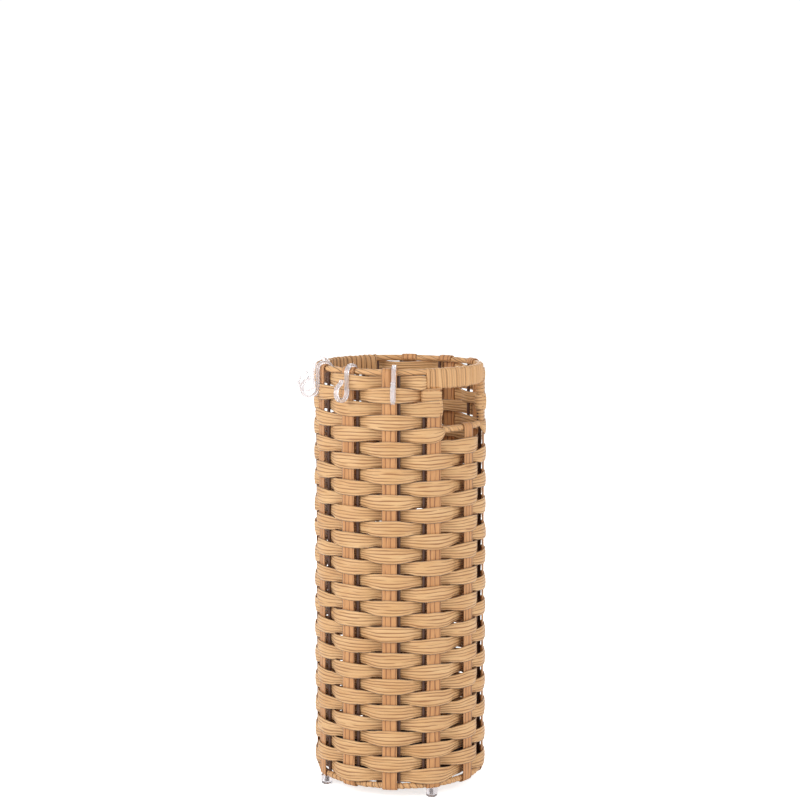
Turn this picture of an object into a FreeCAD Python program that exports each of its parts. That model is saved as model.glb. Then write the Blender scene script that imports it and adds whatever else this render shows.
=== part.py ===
import FreeCAD, Part

import math
import os

import Sketcher

# A round woven umbrella stand: a welded wire frame, flat strands woven over it, two hand openings on the
# X axis, four S-hooks on the rim, four foot cups, and a loose drip tray on the woven base.
# Millimetres. The origin is the middle of the floor under the stand, and +Z is up.

doc = FreeCAD.newDocument("umbrella_stand")
sheet = doc.addObject("Spreadsheet::Sheet", "Sizes")

SIZES = (
    ("overall_height", 520, "floor to the top of the rim"),
    ("outer_diameter", 210, "across the weave"),
    ("foot_height", 10, "floor to the underside of the base ring's strands"),
    ("stake_count", 12, "flat strands that run up the wall"),
    ("full_rows", 26, "woven rows below the hand openings"),
    ("panel_rows", 5, "woven rows beside the hand openings"),
    ("ring_wire", 5, "diameter of the wire of both rings and the handle loops"),
    ("upright_wire", 4, "diameter of the upright wires and the base rods"),
    ("leg_wire", 4.5, "diameter of the foot legs"),
    ("wrap_gauge", 1.2, "thickness of the strand wound round a wire"),
    ("stake_width", 18, "width of a stake"),
    ("stake_gauge", 1.3, "thickness of a stake"),
    ("upright_show", 1.6, "from a stake's edge to the middle of its upright wire"),
    ("weaver_gauge", 1.5, "thickness of a woven strand"),
    ("row_gap", 1, "between one woven row and the next"),
    ("fit_gap", 0.05, "between a wound wire and the stake folded over it"),
    ("weave_gap", 0.35, "between a stake and the strand that passes outside it"),
    ("tuck_gap", 0.229, "between an upright wire and the strand that passes inside it"),
    ("ring_gap", 0.3, "between a wound ring and the nearest woven row"),
    ("sill_gap", 10, "between the highest full row and the sill above it"),
    ("opening_width", 78, "width of a hand opening along the wall"),
    ("opening_height", 45, "height of a hand opening"),
    ("post_width", 28, "width of a wound post along the wall"),
    ("band_height", 25, "height of the wound handle band"),
    ("band_gauge", 1.8, "thickness of the handle band's winding"),
    ("sleeve_gap", 0.3, "between a winding and the pieces inside it"),
    ("rod_inset", 32, "from the middle of the base to each base rod"),
    ("mat_thickness", 1.6, "thickness of the woven base"),
    ("mat_gap", 0.2, "between the woven base and the wall's strands"),
    ("cup_diameter", 13.5, "across a foot cup"),
    ("cup_height", 11, "height of a foot cup"),
    ("cup_sole", 3, "thickness under a leg"),
    ("cup_round", 2.6, "rounding of a foot cup's lower edge"),
    ("tray_clearance", 7.9, "between the edge of the woven base and the drip tray"),
    ("tray_height", 22, "height of the drip tray"),
    ("tray_wall", 1.8, "wall and floor thickness of the drip tray"),
    ("tray_gap", 0.1, "between the woven base and the drip tray"),
    ("hook_stroke", 3.6, "thickness of a hook in its own plane"),
    ("hook_width", 5.2, "width of a hook along the rim"),
    ("hook_bend", 9.05, "middle radius of the bend over the rim"),
    ("hook_loop", 10.2, "middle radius of the lower loop"),
    ("hook_leg", 22, "length of a hook's straight leg"),
    ("hook_seat", 0.25, "between a hook and the rim it hangs on"),
    ("hook_gap", 0.35, "between a hook's leg and the weave"),
    ("hook_flick", 4, "middle radius of the turned-up tip"),
    ("hook_round", 0.8, "rounding of a hook's edges"),
)
for line, (alias, size, note) in enumerate(SIZES, start=1):
    sheet.set(f"A{line}", alias)
    sheet.set(f"B{line}", str(size))
    sheet.set(f"C{line}", note)
    sheet.setAlias(f"B{line}", alias)
doc.recompute()

# Lengths that follow from the sheet, as expressions. Every radius is measured from the stand's axis,
# and every level from the floor.
WOUND = "(Sizes.ring_wire / 2 + Sizes.wrap_gauge)"
FOLD_IN = f"({WOUND} + Sizes.fit_gap)"
FOLD_OUT = f"({FOLD_IN} + Sizes.stake_gauge)"
FRAME = f"(Sizes.outer_diameter / 2 - Sizes.weaver_gauge - Sizes.weave_gap - {FOLD_OUT})"
TOP = f"(Sizes.overall_height - {FOLD_OUT})"
BASE = f"(Sizes.foot_height + {FOLD_OUT})"
BAND = "(Sizes.ring_wire / 2 + Sizes.sleeve_gap + Sizes.band_gauge)"
BAND_IN = "(Sizes.ring_wire / 2 + Sizes.sleeve_gap)"
GRIP = f"({TOP} + 2 * {BAND} - Sizes.band_height)"
SILL = f"({GRIP} - {BAND} - Sizes.opening_height - {WOUND})"
MAT = f"({BASE} + Sizes.upright_wire)"
STAKE_PITCH = 360 / sheet.stake_count


def value(text):
    """The number that an expression on the sheet comes to."""
    return float(sheet.evalExpression(text))


def degrees_along(text):
    """An expression for the angle that a length covers along the frame's circle."""
    return f"({text} / {FRAME} * 180 / pi)"


HALF_OPENING = degrees_along("Sizes.opening_width / 2")
HALF_POST = degrees_along("Sizes.post_width / 2")
HALF_STAKE = degrees_along("Sizes.stake_width / 2")
UPRIGHT_TURN = degrees_along("(Sizes.stake_width / 2 + Sizes.upright_show)")
LOOP_TURN = f"({HALF_OPENING} + " + degrees_along(
    "(Sizes.wrap_gauge + Sizes.sleeve_gap + Sizes.ring_wire / 2)"
) + ")"
HALF_BAND = f"({STAKE_PITCH} + {UPRIGHT_TURN} - " + degrees_along(
    "(Sizes.upright_wire / 2 + Sizes.ring_gap)"
) + ")"

nodes = []


def publish(item, label):
    """Keep an object as a sub-part, under the name of its file."""
    item.Label = label
    nodes.append(item)
    return item


def make(kind, name, level=None, turn=None, **sizes):
    """An object with its sizes, its level and its turn about the stand's axis bound to the sheet."""
    item = doc.addObject(kind, name)
    for key, text in sizes.items():
        item.setExpression(key, text)
    if level:
        item.setExpression("Placement.Base.z", level)
    if turn:
        item.Placement.Rotation = FreeCAD.Rotation(FreeCAD.Vector(0, 0, 1), 1)
        item.setExpression("Placement.Rotation.Angle", turn)
    return item


def rod(name, radius, level, height, angle, out=FRAME):
    """An upright cylinder that stands on the frame's circle at an angle."""
    item = make("Part::Cylinder", name, level, Radius=radius, Height=height)
    item.setExpression("Placement.Base.x", f"{out} * cos({angle})")
    item.setExpression("Placement.Base.y", f"{out} * sin({angle})")
    return item


def hoop(name, radius, level, start="0", sweep="360"):
    """A round wire bent along the frame's circle, whole or from one angle over a sweep."""
    return make("Part::Torus", name, level, start, Radius1=FRAME, Radius2=radius, Angle3=sweep)


def wall(name, inner, outer, level, height, start, sweep):
    """A stretch of the stand's wall between two radii."""
    shape = {"Height": height, "Angle": sweep}
    whole = make("Part::Cylinder", name + "_outside", level, start, Radius=outer, **shape)
    hole = make("Part::Cylinder", name + "_inside", level, start, Radius=inner, **shape)
    return cut(name, whole, hole)


def cut(name, base, tool):
    item = doc.addObject("Part::Cut", name)
    item.Base = base
    item.Tool = tool
    return item


def fuse(name, pieces):
    item = doc.addObject("Part::MultiFuse", name)
    item.Shapes = pieces
    item.Refine = True
    return item


def group(name, pieces, turn=0):
    """Several pieces as one sub-part, or one piece again at another angle."""
    item = doc.addObject("Part::Compound", name)
    item.Links = pieces
    item.Placement.Rotation = FreeCAD.Rotation(FreeCAD.Vector(0, 0, 1), turn)
    return item


def mirror(name, source):
    """A piece's mirror image across the plane through both handles."""
    item = doc.addObject("Part::Mirroring", name)
    item.Source = source
    item.Normal = FreeCAD.Vector(0, 1, 0)
    return item


# The frame: two rings, an upright wire beside each stake, and a wire loop inside each handle.
publish(hoop("top_wire", "Sizes.ring_wire / 2", TOP), "top_ring")
publish(hoop("base_wire", "Sizes.ring_wire / 2", BASE), "base_ring")

stake_angles = [STAKE_PITCH * step for step in range(int(sheet.stake_count))]
POSTS = (STAKE_PITCH, 180 - STAKE_PITCH, 180 + STAKE_PITCH, 360 - STAKE_PITCH)
FEET = (60, 150, 240, 330)
HANDLES = (0, 180)

upright_list = []
for step, angle in enumerate(stake_angles, start=1):
    side = -1 if angle in (180 - STAKE_PITCH, 360 - STAKE_PITCH) else 1
    foot = f"({BASE} + {WOUND})"
    head = SILL if angle in HANDLES else TOP
    reach = f"({head} - {BASE} - 2 * {WOUND})"
    place = f"({angle} + {side} * {UPRIGHT_TURN})"
    upright_list.append(rod(f"upright_{step}", "Sizes.upright_wire / 2", foot, reach, place))
publish(group("uprights", upright_list), "upright_wires")

LOOP_END_TURN = f"({LOOP_TURN} + " + degrees_along("Sizes.ring_wire / 2") + ")"
loop_bars = []
for name, level in (("grip", GRIP), ("sill", SILL)):
    start = f"(0 - {LOOP_END_TURN})"
    sweep = f"2 * {LOOP_END_TURN}"
    loop_bars.append(hoop(name + "_wire", "Sizes.ring_wire / 2", level, start, sweep))
loop_sides = []
for name, side in (("left", 1), ("right", -1)):
    foot = f"({SILL} + Sizes.ring_wire / 2)"
    reach = f"({GRIP} - {SILL} - Sizes.ring_wire)"
    place = f"({side} * {LOOP_TURN})"
    loop_sides.append(rod(f"loop_side_{name}", "Sizes.ring_wire / 2", foot, reach, place))
for name, turn in (("right", 0), ("left", 180)):
    publish(group(f"loop_{name}", loop_bars + loop_sides, turn), f"handle_loop_{name}")

# The base: two pairs of crossed rods with the woven mat lying on them.
rod_half = (
    f"sqrt(({FRAME} - {WOUND} - Sizes.mat_gap)^2 - (Sizes.rod_inset + Sizes.upright_wire / 2)^2)"
)
base_rods = []
for step, (across, layer) in enumerate(((1, -1), (-1, -1), (1, 1), (-1, 1)), start=1):
    bar = doc.addObject("Part::Cylinder", f"base_rod_{step}")
    bar.setExpression("Radius", "Sizes.upright_wire / 2")
    bar.setExpression("Height", f"2 * {rod_half}")
    along, beside = ("x", "y") if layer < 0 else ("y", "x")
    axis = FreeCAD.Vector(1, 0, 0) if along == "x" else FreeCAD.Vector(0, 1, 0)
    bar.Placement.Rotation = FreeCAD.Rotation(FreeCAD.Vector(0, 0, 1), axis)
    bar.setExpression(f"Placement.Base.{along}", f"0 - {rod_half}")
    bar.setExpression(f"Placement.Base.{beside}", f"{across} * Sizes.rod_inset")
    bar.setExpression("Placement.Base.z", f"{BASE} + {layer} * Sizes.upright_wire / 2")
    base_rods.append(bar)
publish(group("base_grid", base_rods), "base_rods")

# A strand's middle radius where it lies over a stake, where it passes its upright, and at its inmost.
OVER = "(Sizes.outer_diameter / 2 - Sizes.weaver_gauge / 2)"
BEHIND_WIRE = f"({FRAME} - Sizes.upright_wire / 2 - Sizes.tuck_gap - Sizes.weaver_gauge / 2)"
WIRE_SWING = f"cos(Sizes.stake_count / 2 * {UPRIGHT_TURN})"
WIRE_DEPTH = f"(1.5 * {WIRE_SWING} - 0.5 * {WIRE_SWING}^3)"
TUCKED = f"((2 * {BEHIND_WIRE} - {OVER} * (1 - {WIRE_DEPTH})) / (1 + {WIRE_DEPTH}))"
mat_radius = f"({TUCKED} - Sizes.weaver_gauge / 2 - Sizes.mat_gap)"
mat = make("Part::Cylinder", "mat", MAT, Radius=mat_radius, Height="Sizes.mat_thickness")
publish(mat, "base_mat")

# The foot legs stand under the base ring, each in a cup with a flat sole.
leg_reach = f"({BASE} - Sizes.ring_wire / 2 - Sizes.cup_sole)"
legs = [
    rod(f"leg_{step}", "Sizes.leg_wire / 2", "Sizes.cup_sole", leg_reach, str(angle))
    for step, angle in enumerate(FEET, start=1)
]
leg_set = publish(group("legs", legs), "foot_legs")


def plane(body, role):
    return next(item for item in body.Origin.OriginFeatures if item.Role == role)


def circle_sketch(body, name, radius, level):
    """A circle about the body's own axis, at a level, with its radius bound to the sheet."""
    sketch = body.newObject("Sketcher::SketchObject", name)
    sketch.AttachmentSupport = [(plane(body, "XY_Plane"), "")]
    sketch.MapMode = "FlatFace"
    sketch.setExpression("AttachmentOffset.Base.z", level)
    sketch.addGeometry(Part.Circle(FreeCAD.Vector(), FreeCAD.Vector(0, 0, 1), value(radius)))
    sketch.addConstraint(Sketcher.Constraint("Coincident", 0, 3, -1, 1))
    sketch.addConstraint(Sketcher.Constraint("Radius", 0, value(radius)))
    sketch.setExpression("Constraints[1]", radius)
    return sketch


def cup_shape(name, radius, height, bore, floor):
    """A round pad with a blind bore from above."""
    body = doc.addObject("PartDesign::Body", name)
    pad = body.newObject("PartDesign::Pad", name + "_pad")
    pad.Profile = circle_sketch(body, name + "_outline", radius, "0")
    pad.setExpression("Length", height)
    pocket = body.newObject("PartDesign::Pocket", name + "_bore")
    pocket.Profile = circle_sketch(body, name + "_hole", bore, height)
    pocket.setExpression("Length", f"{height} - {floor}")
    doc.recompute()
    return body


def rounded(body, feature, edges, radius):
    """Round a body's circular edges that lie at the given levels and radii."""
    names = []
    for number, edge in enumerate(feature.Shape.Edges, start=1):
        box = edge.BoundBox
        for level, size in edges:
            flat = abs(box.ZMin - level) < 0.01 and abs(box.ZMax - level) < 0.01
            if flat and abs(box.XMax - size) < 0.01:
                names.append(f"Edge{number}")
    fillet = body.newObject("PartDesign::Fillet", feature.Name + "_round")
    fillet.Base = (feature, names)
    fillet.setExpression("Radius", radius)
    doc.recompute()
    return fillet


cup = cup_shape("cup", "Sizes.cup_diameter / 2", "Sizes.cup_height", "Sizes.leg_wire / 2", "Sizes.cup_sole")
rounded(cup, cup.Tip, [(0, value("Sizes.cup_diameter / 2"))], "Sizes.cup_round")
cup.setExpression("Placement.Base.x", FRAME)
for step, angle in enumerate(FEET, start=1):
    publish(group(f"cup_{step}", [cup], angle), f"foot_cup_{step}")

# The windings: the rim between the handles, the sills, the base ring, the handle bands and the posts.
rim_start = f"({HALF_BAND} + " + degrees_along("Sizes.ring_gap") + ")"
rim_sweep = f"(180 - 2 * {rim_start})"
rim_outside = hoop("rim_outside", WOUND, TOP, rim_start, rim_sweep)
rim_inside = hoop("rim_inside", "Sizes.ring_wire / 2", TOP, rim_start, rim_sweep)
rim = cut("rim", rim_outside, rim_inside)
for name, turn in (("back", 0), ("front", 180)):
    publish(group(f"rim_{name}", [rim], turn), f"rim_wrap_{name}")

base_wound = cut(
    "base_wound",
    hoop("base_outside", WOUND, BASE, "0", "180"),
    hoop("base_inside", "Sizes.ring_wire / 2", BASE, "0", "180"),
)
base_half = cut("base_half", base_wound, leg_set)
for name, turn in (("back", 0), ("front", 180)):
    publish(group(f"base_{name}", [base_half], turn), f"base_wrap_{name}")

sill_start = f"(0 - {HALF_OPENING})"
sill_sweep = f"(2 * {HALF_OPENING})"
sill_outside = hoop("sill_outside", WOUND, SILL, sill_start, sill_sweep)
sill_inside = hoop("sill_inside", "Sizes.ring_wire / 2", SILL, sill_start, sill_sweep)
sill = cut("sill", sill_outside, sill_inside)
for name, turn in (("right", 0), ("left", 180)):
    publish(group(f"sill_{name}", [sill], turn), f"sill_wrap_{name}")


def band_solid(name, radius):
    """The full stretch of a handle band: the grip wire and the top ring rolled together at a radius."""
    start = f"(0 - {HALF_BAND})"
    sweep = f"(2 * {HALF_BAND})"
    lower = hoop(name + "_lower", radius, GRIP, start, sweep)
    upper = hoop(name + "_upper", radius, TOP, start, sweep)
    middle = wall(
        name + "_middle", f"{FRAME} - {radius}", f"{FRAME} + {radius}", GRIP, f"{TOP} - {GRIP}", start, sweep
    )
    return fuse(name, [lower, upper, middle])


band_hollow = cut("band_hollow", band_solid("band_outside", BAND), band_solid("band_inside", BAND_IN))
band = cut("band", band_hollow, group("loop_passages", loop_sides))
for name, turn in (("right", 0), ("left", 180)):
    publish(group(f"band_{name}", [band], turn), f"handle_band_{name}")

POST_FOOT = f"({SILL} + Sizes.ring_wire / 2 + Sizes.fit_gap)"
POST_TOP = f"({GRIP} - {BAND})"
post_height = f"({POST_TOP} - {POST_FOOT})"
post_in = "(Sizes.ring_wire / 2 + Sizes.sleeve_gap)"
post_out = f"({FOLD_OUT} + Sizes.sleeve_gap)"
wall_turn = degrees_along("Sizes.wrap_gauge")
post_outside = wall(
    "post_outside",
    f"{FRAME} - {post_in} - Sizes.wrap_gauge",
    f"{FRAME} + {post_out} + Sizes.wrap_gauge",
    POST_FOOT,
    post_height,
    HALF_OPENING,
    f"2 * {HALF_POST}",
)
post_inside = wall(
    "post_inside",
    f"{FRAME} - {post_in}",
    f"{FRAME} + {post_out}",
    POST_FOOT,
    post_height,
    f"{HALF_OPENING} + {wall_turn}",
    f"2 * ({HALF_POST} - {wall_turn})",
)
post = cut("post", post_outside, post_inside)
post_mirrored = mirror("post_mirrored", post)
for step, (source, turn) in enumerate(((post, 0), (post_mirrored, 180), (post, 180), (post_mirrored, 0)), 1):
    publish(group(f"post_{step}", [source], turn), f"post_wrap_{step}")

# The stakes: flat strands up the outside of the wires, folded over the rim and under the base ring.
FULL_FOLD = 190
FOOT_FOLD = 42


def stake(name, top, top_fold, base_fold):
    """One stake at angle 0 from the base ring up to a level: its side view turned about the stand's axis."""
    body = doc.addObject("PartDesign::Body", name)
    sketch = body.newObject("Sketcher::SketchObject", name + "_side")
    sketch.AttachmentSupport = [(plane(body, "XZ_Plane"), "")]
    sketch.MapMode = "FlatFace"
    middle = value(FRAME)
    inner = value(FOLD_IN)
    outer = value(FOLD_OUT)
    low = value(BASE)
    high = value(top)

    def spot(radius, level, angle):
        turn = math.radians(angle)
        return FreeCAD.Vector(middle + radius * math.cos(turn), level + radius * math.sin(turn), 0)

    def bend(radius, level, first, last):
        circle = Part.Circle(FreeCAD.Vector(middle, level, 0), FreeCAD.Vector(0, 0, 1), radius)
        return Part.ArcOfCircle(circle, math.radians(first), math.radians(last))

    outline = [
        Part.LineSegment(spot(inner, low, 0), spot(inner, high, 0)),
        Part.LineSegment(spot(outer, high, 0), spot(outer, low, 0)),
        bend(inner, low, -base_fold, 0),
        bend(outer, low, -base_fold, 0),
        Part.LineSegment(spot(inner, low, -base_fold), spot(outer, low, -base_fold)),
    ]
    if top_fold:
        outline.append(bend(inner, high, 0, top_fold))
        outline.append(bend(outer, high, 0, top_fold))
    outline.append(Part.LineSegment(spot(outer, high, top_fold), spot(inner, high, top_fold)))
    sketch.addGeometry(outline)
    folds = [(2, FOLD_IN, BASE), (3, FOLD_OUT, BASE)]
    if top_fold:
        folds += [(5, FOLD_IN, top), (6, FOLD_OUT, top)]
    for number, radius, level in folds:
        for kind, length in (("Radius", radius), ("DistanceX", FRAME), ("DistanceY", level)):
            points = (number,) if kind == "Radius" else (-1, 1, number, 3)
            sketch.addConstraint(Sketcher.Constraint(kind, *points, value(length)))
            sketch.setExpression(f"Constraints[{sketch.ConstraintCount - 1}]", length)
    strip = body.newObject("PartDesign::Revolution", name + "_strip")
    strip.Profile = sketch
    strip.ReferenceAxis = (sketch, ["V_Axis"])
    strip.Midplane = True
    strip.setExpression("Angle", f"2 * {HALF_STAKE}")
    return body


plain_stake = stake("plain_stake", TOP, FULL_FOLD, FULL_FOLD)
foot_stake = stake("foot_stake", TOP, FULL_FOLD, FOOT_FOLD)
post_stake = stake("post_stake", f"({POST_TOP} - Sizes.ring_gap)", 0, FULL_FOLD)
foot_post_stake = stake("foot_post_stake", f"({POST_TOP} - Sizes.ring_gap)", 0, FOOT_FOLD)
sill_stake = stake("sill_stake", SILL, FULL_FOLD, FULL_FOLD)
for step, angle in enumerate(stake_angles, start=1):
    source = foot_stake if angle in FEET else plain_stake
    if angle in HANDLES:
        source = sill_stake
    elif angle in POSTS:
        source = foot_post_stake if angle in FEET else post_stake
    publish(group(f"stake_copy_{step}", [source], angle), f"stake_{step:02d}")

# The woven rows. Each strand passes outside one stake and inside the next, and the rows alternate.
over = value(OVER)
tucked = value(TUCKED)
half_gauge = sheet.weaver_gauge / 2
waves = sheet.stake_count / 2
POINTS_PER_STAKE = 6


def strand_radius(angle, parity):
    """The strand's middle radius at an angle in degrees: flat-topped waves, one for every two stakes."""
    swing = parity * math.cos(math.radians(waves * angle))
    flattened = swing * (1.5 - 0.5 * swing * swing)
    return (over + tucked) / 2 + flattened * (over - tucked) / 2


def strand_edge(angles, parity, offset, level, closed):
    """One edge of a strand as a smooth curve through points at the given angles."""
    points = []
    for angle in angles:
        radius = strand_radius(angle, parity) + offset
        turn = math.radians(angle)
        points.append(FreeCAD.Vector(radius * math.cos(turn), radius * math.sin(turn), level))
    curve = Part.BSplineCurve()
    curve.interpolate(points, PeriodicFlag=closed)
    return curve.toShape()


def full_strand(parity, level, height):
    """A closed ring of strand."""
    count = int(sheet.stake_count) * POINTS_PER_STAKE
    angles = [360 * step / count for step in range(count)]
    outer = Part.Face(Part.Wire(strand_edge(angles, parity, half_gauge, level, True)))
    inner = Part.Face(Part.Wire(strand_edge(angles, parity, -half_gauge, level, True)))
    rise = FreeCAD.Vector(0, 0, height)
    return outer.extrude(rise).cut(inner.extrude(rise))


def open_strand(parity, level, height, first, last):
    """A length of strand from one angle to another."""
    count = round((last - first) / STAKE_PITCH * POINTS_PER_STAKE)
    angles = [first + (last - first) * step / count for step in range(count + 1)]
    outer = strand_edge(angles, parity, half_gauge, level, False)
    inner = strand_edge(angles, parity, -half_gauge, level, False)
    ends = []
    for vertex in (0, -1):
        ends.append(Part.makeLine(outer.Vertexes[vertex].Point, inner.Vertexes[vertex].Point))
    outline = Part.Wire(Part.__sortEdges__([outer, ends[1], inner, ends[0]]))
    return Part.Face(outline).extrude(FreeCAD.Vector(0, 0, height))


def woven(label, shapes):
    item = doc.addObject("Part::Feature", label)
    item.Shape = Part.makeCompound(shapes)
    item.Placement = FreeCAD.Placement()
    publish(item, label)


rows_foot = value(f"{BASE} + {WOUND} + Sizes.ring_gap")
rows_split = value(f"{SILL} - {WOUND} - Sizes.sill_gap")
rows_top = value(f"{TOP} - {WOUND} - Sizes.ring_gap")
full_pitch = (rows_split - rows_foot) / sheet.full_rows
panel_pitch = (rows_top - rows_split) / sheet.panel_rows

# The rows are numbered down from the rim, and the odd ones pass outside the posts.
panels = {"front": [], "back": []}
for row in range(1, int(sheet.panel_rows) + 1):
    level = rows_top - row * panel_pitch + sheet.row_gap / 2
    parity = -1 if row % 2 else 1
    end = value(f"{HALF_OPENING} + 2 * {HALF_POST} + " + degrees_along("Sizes.ring_gap"))
    if row == 1:
        end = value(rim_start)
    # A row that passes under the posts runs on to the opening's edge.
    if level + panel_pitch - sheet.row_gap < value(POST_FOOT):
        end = value(HALF_OPENING)
    for name, middle in (("back", 90), ("front", 270)):
        first = middle - 90 + end
        last = middle + 90 - end
        panels[name].append(open_strand(parity, level, panel_pitch - sheet.row_gap, first, last))
for name, strands in panels.items():
    woven(f"panel_weavers_{name}", strands)

pair = []
for row in range(1, int(sheet.full_rows) + 1):
    level = rows_split - row * full_pitch + sheet.row_gap / 2
    parity = -1 if (row + sheet.panel_rows) % 2 else 1
    pair.append(full_strand(parity, level, full_pitch - sheet.row_gap))
    if len(pair) == 2:
        woven(f"weavers_{row // 2:02d}", pair)
        pair = []

# The drip tray, loose on the woven base.
tray_radius = f"({mat_radius} - Sizes.tray_clearance)"
tray_bore = f"({tray_radius} - Sizes.tray_wall)"
tray = cup_shape("tray", tray_radius, "Sizes.tray_height", tray_bore, "Sizes.tray_wall")
tray.setExpression("Placement.Base.z", f"{MAT} + Sizes.mat_thickness + Sizes.tray_gap")
publish(tray, "drip_tray")

# The S-hooks: plate cut to an S in the plane through the stand's axis, with its edges rounded.
HOOK_ANGLES = (303, 271, 239, 207)
HOOK_TIP = 175
LOOP_END = 72
FLICK_TURN = 70

bend = sheet.hook_bend
drop = value(f"{FOLD_OUT} + Sizes.hook_seat - Sizes.hook_bend + Sizes.hook_stroke / 2")
spine = doc.addObject("Sketcher::SketchObject", "hook_spine")
spine.Placement = FreeCAD.Placement(FreeCAD.Vector(), FreeCAD.Rotation(FreeCAD.Vector(1, 0, 0), 90))


def arc(x, y, radius, first, last):
    circle = Part.Circle(FreeCAD.Vector(x, y, 0), FreeCAD.Vector(0, 0, 1), radius)
    return Part.ArcOfCircle(circle, math.radians(first), math.radians(last))


leg_foot = drop - sheet.hook_leg
loop_x = bend + sheet.hook_loop
end_turn = math.radians(LOOP_END)
flick_x = loop_x + (sheet.hook_loop + sheet.hook_flick) * math.cos(end_turn)
flick_y = leg_foot + (sheet.hook_loop + sheet.hook_flick) * math.sin(end_turn)
spine.addGeometry(arc(0, drop, bend, 0, HOOK_TIP))
spine.addGeometry(Part.LineSegment(FreeCAD.Vector(bend, drop, 0), FreeCAD.Vector(bend, leg_foot, 0)))
spine.addGeometry(arc(loop_x, leg_foot, sheet.hook_loop, 180, 360 + LOOP_END))
spine.addGeometry(arc(flick_x, flick_y, sheet.hook_flick, 180 + LOOP_END - FLICK_TURN, 180 + LOOP_END))
spine.addConstraint(Sketcher.Constraint("Tangent", 0, 1, 1, 1))
spine.addConstraint(Sketcher.Constraint("Tangent", 1, 2, 2, 1))
spine.addConstraint(Sketcher.Constraint("Tangent", 2, 2, 3, 2))
for number, cell in ((0, "hook_bend"), (2, "hook_loop"), (3, "hook_flick")):
    spine.addConstraint(Sketcher.Constraint("Radius", number, getattr(sheet, cell)))
    spine.setExpression(f"Constraints[{spine.ConstraintCount - 1}]", f"Sizes.{cell}")
doc.recompute()
outline = doc.addObject("Part::Offset2D", "hook_outline")
outline.Source = spine
outline.setExpression("Value", "Sizes.hook_stroke / 2")
outline.Mode = "Pipe"
outline.Join = "Arc"
outline.Fill = True
plate = doc.addObject("Part::Extrusion", "hook_plate")
plate.Base = outline
plate.DirMode = "Custom"
plate.Dir = FreeCAD.Vector(0, 1, 0)
plate.setExpression("LengthFwd", "Sizes.hook_width")
plate.Symmetric = True
plate.Solid = True
doc.recompute()
hook = doc.addObject("Part::Fillet", "hook")
hook.Base = plate
hook.Edges = [
    (number, sheet.hook_round, sheet.hook_round)
    for number, edge in enumerate(plate.Shape.Edges, start=1)
    if abs(edge.BoundBox.YLength) < 0.01
]
hook_leg_face = "(Sizes.outer_diameter / 2 + Sizes.hook_gap)"
hook.setExpression("Placement.Base.x", f"{hook_leg_face} + Sizes.hook_stroke / 2 - Sizes.hook_bend")
hook.setExpression("Placement.Base.z", TOP)
for step, angle in enumerate(HOOK_ANGLES, start=1):
    publish(group(f"hook_copy_{step}", [hook], angle), f"hook_{step}")

doc.recompute()
for item in doc.Objects:
    if "Invalid" in item.State or "Error" in item.State:
        raise RuntimeError(f"{item.Name} is {item.State}")
for item in nodes:
    if item.Shape.isNull() or not item.Shape.isValid():
        raise RuntimeError(f"{item.Label} has no valid shape")
os.makedirs("parts", exist_ok=True)
for item in nodes:
    item.Shape.exportStep(f"parts/{item.Label}.step")
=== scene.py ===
import math

import bmesh
import bpy
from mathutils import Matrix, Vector


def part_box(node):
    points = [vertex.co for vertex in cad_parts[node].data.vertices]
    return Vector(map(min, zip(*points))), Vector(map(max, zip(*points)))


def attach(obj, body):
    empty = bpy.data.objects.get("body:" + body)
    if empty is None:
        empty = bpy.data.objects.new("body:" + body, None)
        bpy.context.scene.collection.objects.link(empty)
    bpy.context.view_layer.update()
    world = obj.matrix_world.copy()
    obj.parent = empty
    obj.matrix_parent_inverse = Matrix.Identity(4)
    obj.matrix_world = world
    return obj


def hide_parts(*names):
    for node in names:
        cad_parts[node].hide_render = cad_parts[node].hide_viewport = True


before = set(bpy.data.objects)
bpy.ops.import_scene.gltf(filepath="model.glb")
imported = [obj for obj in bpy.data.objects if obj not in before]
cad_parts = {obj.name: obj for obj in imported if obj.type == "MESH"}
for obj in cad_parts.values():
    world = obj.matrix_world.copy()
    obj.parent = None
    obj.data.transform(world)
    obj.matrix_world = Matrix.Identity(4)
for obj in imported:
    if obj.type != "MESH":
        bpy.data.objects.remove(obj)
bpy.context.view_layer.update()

# Painted wire: the frame's rings, uprights, handle loops, base rods and foot legs.
# Mild steel wire, welded where it crosses and sprayed brown, so it shows between the strands.
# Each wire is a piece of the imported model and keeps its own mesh.


def node_maker(tree):
    """A function that adds a node, sets its properties, and joins or fills its inputs by index or name."""

    def add(kind, inputs=None, output=0, **properties):
        made = tree.nodes.new(kind)
        for key, setting in properties.items():
            setattr(made, key, setting)
        for key, source in (inputs or {}).items():
            socket = made.inputs[key]
            if isinstance(source, bpy.types.NodeSocket):
                tree.links.new(source, socket)
            else:
                socket.default_value = source
        return made.outputs[output]

    return add


def blend(add, share, first, second):
    """A colour between two others."""
    return add("ShaderNodeMix", {0: share, 6: first, 7: second}, output=2, data_type="RGBA")


def new_material(name):
    """A material with its nodes, its node maker and its Principled shader."""
    material = bpy.data.materials.new(name)
    material.use_nodes = True
    shader = material.node_tree.nodes["Principled BSDF"]
    return material, node_maker(material.node_tree), shader


def feed(material, shader, **sockets):
    """Join or fill the shader's own sockets."""
    for key, source in sockets.items():
        socket = shader.inputs[key.replace("_", " ")]
        if isinstance(source, bpy.types.NodeSocket):
            material.node_tree.links.new(source, socket)
        else:
            socket.default_value = source


def paint_node(node, material):
    """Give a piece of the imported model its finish."""
    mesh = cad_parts[node].data
    mesh.materials.clear()
    mesh.materials.append(material)


WIRE_BROWN = (0.055, 0.022, 0.014, 1)
WIRE_WORN = (0.13, 0.062, 0.04, 1)

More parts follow.
